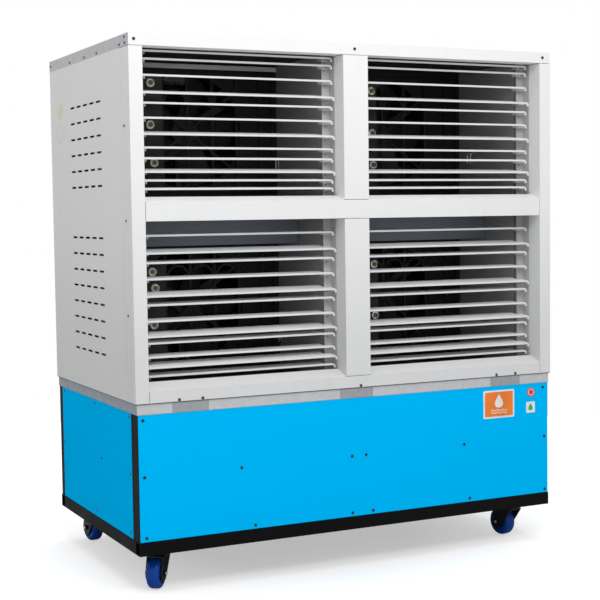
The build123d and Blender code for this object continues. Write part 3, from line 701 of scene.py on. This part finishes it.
pad_low, pad_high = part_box("cooling_pads")
PAD_GAP = 0.027  # half the gap between the left and right pads
INSET = 0.001
pad_yz = (pad_low.y + INSET, pad_high.y - INSET, pad_low.z + INSET, pad_high.z - INSET)
for pad_name, pad_x in (("left", (pad_low.x, -PAD_GAP)), ("right", (PAD_GAP, pad_high.x))):
    pad = piece(f"fluted_pad_{pad_name}", lambda bm: fluted_pad(bm, *pad_x, *pad_yz),
                MATERIALS["pad_media"], smooth_angle=80.0)
    thicken = pad.modifiers.new("thickness", "SOLIDIFY")
    thicken.thickness = 0.0007
    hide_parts("cooling_pads")

# Faded stickers on the left side panel
SIDE_LABEL_Y = 0.320


def side_label(bm):
    prism(bm, circle(0.034), (SIDE_X, SIDE_LABEL_Y, 1.586), 0.0003, (-1, 0, 0))


def side_label_ring(bm):
    ring_band(bm, 0.034, 0.029, (SIDE_X, SIDE_LABEL_Y, 1.500), 0.0003, (-1, 0, 0))


piece("side_label", side_label, faded_ink)
piece("side_label_ring", side_label_ring, worn_ink)


# Camera -------------------------------------------------------------------------------------
CAMERA_AT = (-2.1654, -4.4068, 1.2099)
YAW, PITCH, ROLL = math.radians(26.148), math.radians(-3.765), math.radians(-0.758)
forward = Vector((math.sin(YAW) * math.cos(PITCH), math.cos(YAW) * math.cos(PITCH), math.sin(PITCH)))
level_right = Vector((math.cos(YAW), -math.sin(YAW), 0))
level_up = level_right.cross(forward)
right = level_right * math.cos(ROLL) + level_up * math.sin(ROLL)
up = right.cross(forward)
camera_data = bpy.data.cameras.new("camera")
camera_data.lens = 80.46
camera_data.sensor_width = 36.0
camera_data.clip_end = 200.0
camera = bpy.data.objects.new("camera", camera_data)
bpy.context.scene.collection.objects.link(camera)
facing_matrix = Matrix((right, up, -forward)).transposed().to_4x4()
camera.matrix_world = Matrix.Translation(CAMERA_AT) @ facing_matrix
bpy.context.scene.camera = camera


# Floor and light ----------------------------------------------------------------------------
bm = bmesh.new()
lathe(bm, [(0.0, 0.0), (1.6, 0.0), (3.2, 0.0)], (0, 0, -0.0005), (0, 0, 1), 96)
floor_mesh = bpy.data.meshes.new("floor")
bm.to_mesh(floor_mesh)
bm.free()
floor_mat, tree, shader = new_material("floor", 0.85, 0.0, 0.0, 0.1)
tone = ramp(tree, noise(tree, coordinates(tree), 1.3),
            [(0.3, (0.58, 0.58, 0.58)), (0.7, (0.60, 0.60, 0.60))])
tree.links.new(tone, shader.inputs["Base Color"])
# The floor fades into the white backdrop, for the camera only
seen = tree.nodes.new("ShaderNodeLightPath")
reach = tree.nodes.new("ShaderNodeVectorMath")
reach.operation = "LENGTH"
tree.links.new(coordinates(tree, (0.25, 0.25, 0.0)), reach.inputs[0])
glow = ramp(tree, reach.outputs["Value"],
            [(0.1, (0.45, 0.45, 0.45)), (0.4, (0.75, 0.75, 0.75)), (0.7, (1.0, 1.0, 1.0))])
tree.links.new(glow, shader.inputs["Emission Color"])
tree.links.new(seen.outputs["Is Camera Ray"], shader.inputs["Emission Strength"])
floor_mesh.materials.append(floor_mat)
floor = bpy.data.objects.new("floor", floor_mesh)
bpy.context.scene.collection.objects.link(floor)

world = bpy.data.worlds.new("studio")
bpy.context.scene.world = world
world.use_nodes = True
sky = world.node_tree
light_sky = sky.nodes["Background"]
light_sky.inputs["Color"].default_value = (1.0, 1.0, 1.0, 1.0)
light_sky.inputs["Strength"].default_value = 0.58
seen_sky = sky.nodes.new("ShaderNodeBackground")
seen_sky.inputs["Color"].default_value = (1.0, 1.0, 1.0, 1.0)
seen_sky.inputs["Strength"].default_value = 1.0
path = sky.nodes.new("ShaderNodeLightPath")
blend_sky = sky.nodes.new("ShaderNodeMixShader")
sky.links.new(path.outputs["Is Camera Ray"], blend_sky.inputs["Fac"])
sky.links.new(light_sky.outputs["Background"], blend_sky.inputs[1])
sky.links.new(seen_sky.outputs["Background"], blend_sky.inputs[2])
sky.links.new(blend_sky.outputs["Shader"], sky.nodes["World Output"].inputs["Surface"])


def area_light(name, place, target, size, power):
    """Rectangular lamp that looks at a target, in watts."""
    data = bpy.data.lights.new(name, "AREA")
    data.shape = "RECTANGLE"
    data.size, data.size_y = size
    data.energy = power
    light = bpy.data.objects.new(name, data)
    bpy.context.scene.collection.objects.link(light)
    direction = Vector(target) - Vector(place)
    light.matrix_world = Matrix.Translation(place) @ direction.to_track_quat("-Z", "Y").to_matrix().to_4x4()


area_light("key", (-0.5, -3.0, 3.3), (-0.2, -0.4, 1.5), (2.2, 1.2), 50)
area_light("fill", (-2.6, -4.6, 1.7), (-0.2, 0.0, 1.2), (1.2, 1.2), 12)
area_light("top", (0.0, 0.0, 5.0), (0.0, 0.0, 0.0), (5.0, 5.0), 116)

bpy.context.scene.view_settings.view_transform = "Standard"
